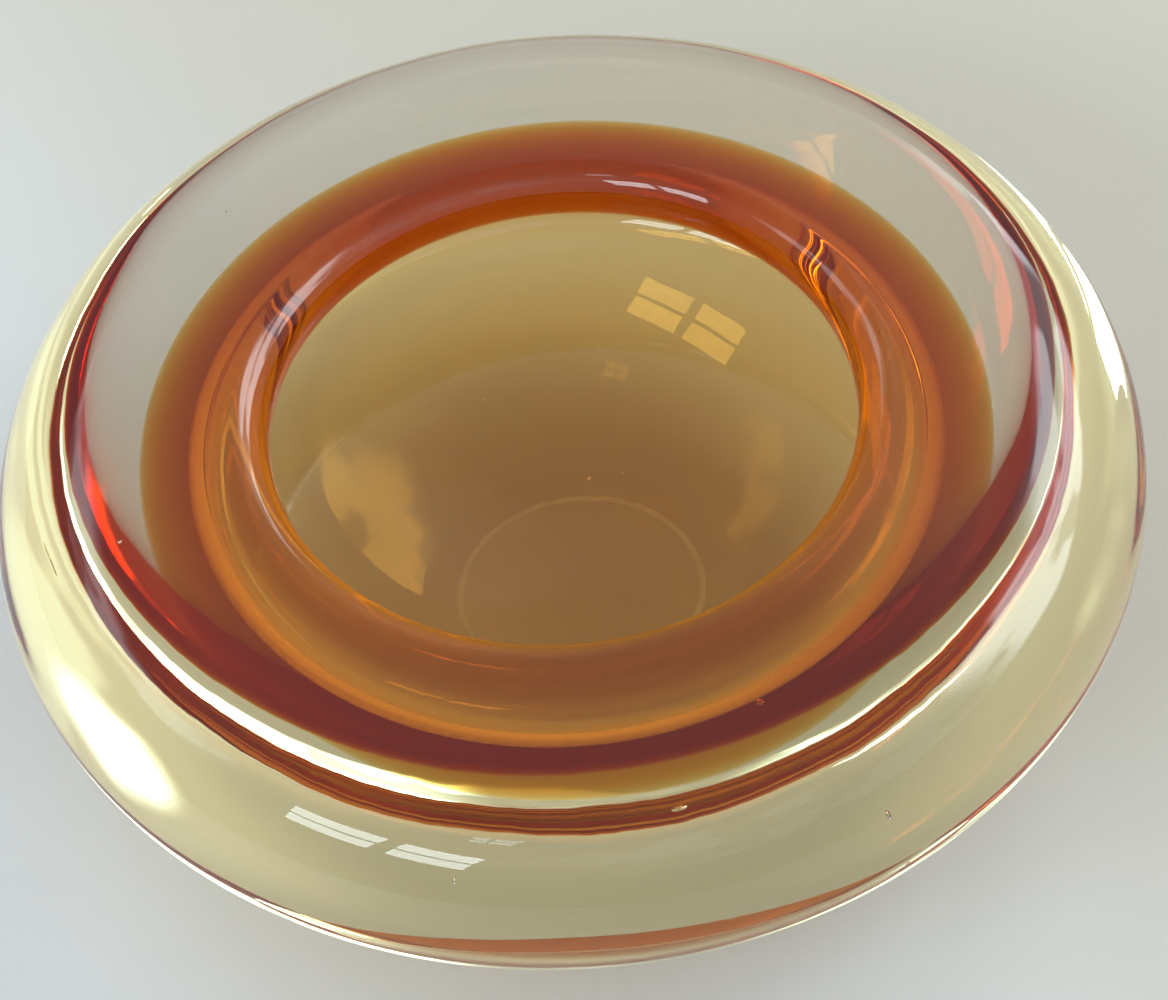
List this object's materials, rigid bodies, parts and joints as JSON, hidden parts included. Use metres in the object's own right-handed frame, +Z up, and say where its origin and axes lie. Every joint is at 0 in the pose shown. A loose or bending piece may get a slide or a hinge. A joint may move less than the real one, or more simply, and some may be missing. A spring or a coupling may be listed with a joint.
{
  "type": "bowl",
  "caption": "Heavy cased glass bowl: a flattened clear body with a thick base and a rounded shoulder, over an amber layer that lines a shallow hollow under a narrower mouth with a rounded lip.",
  "frame": {"origin": "centre of the ground resting face, on the axis of the bowl", "axes": "+Z up along the axis of the bowl; +Y away from the viewer; X and Y are interchangeable because the bowl is round"},
  "size_m": [0.17, 0.17, 0.0625],
  "materials": {
    "clear_glass": "polished",
    "amber_glass": "polished"
  },
  "bodies": {
    "root": {"clear_casing": "clear_glass", "amber_cup": "amber_glass"}
  },
  "joints": []
}
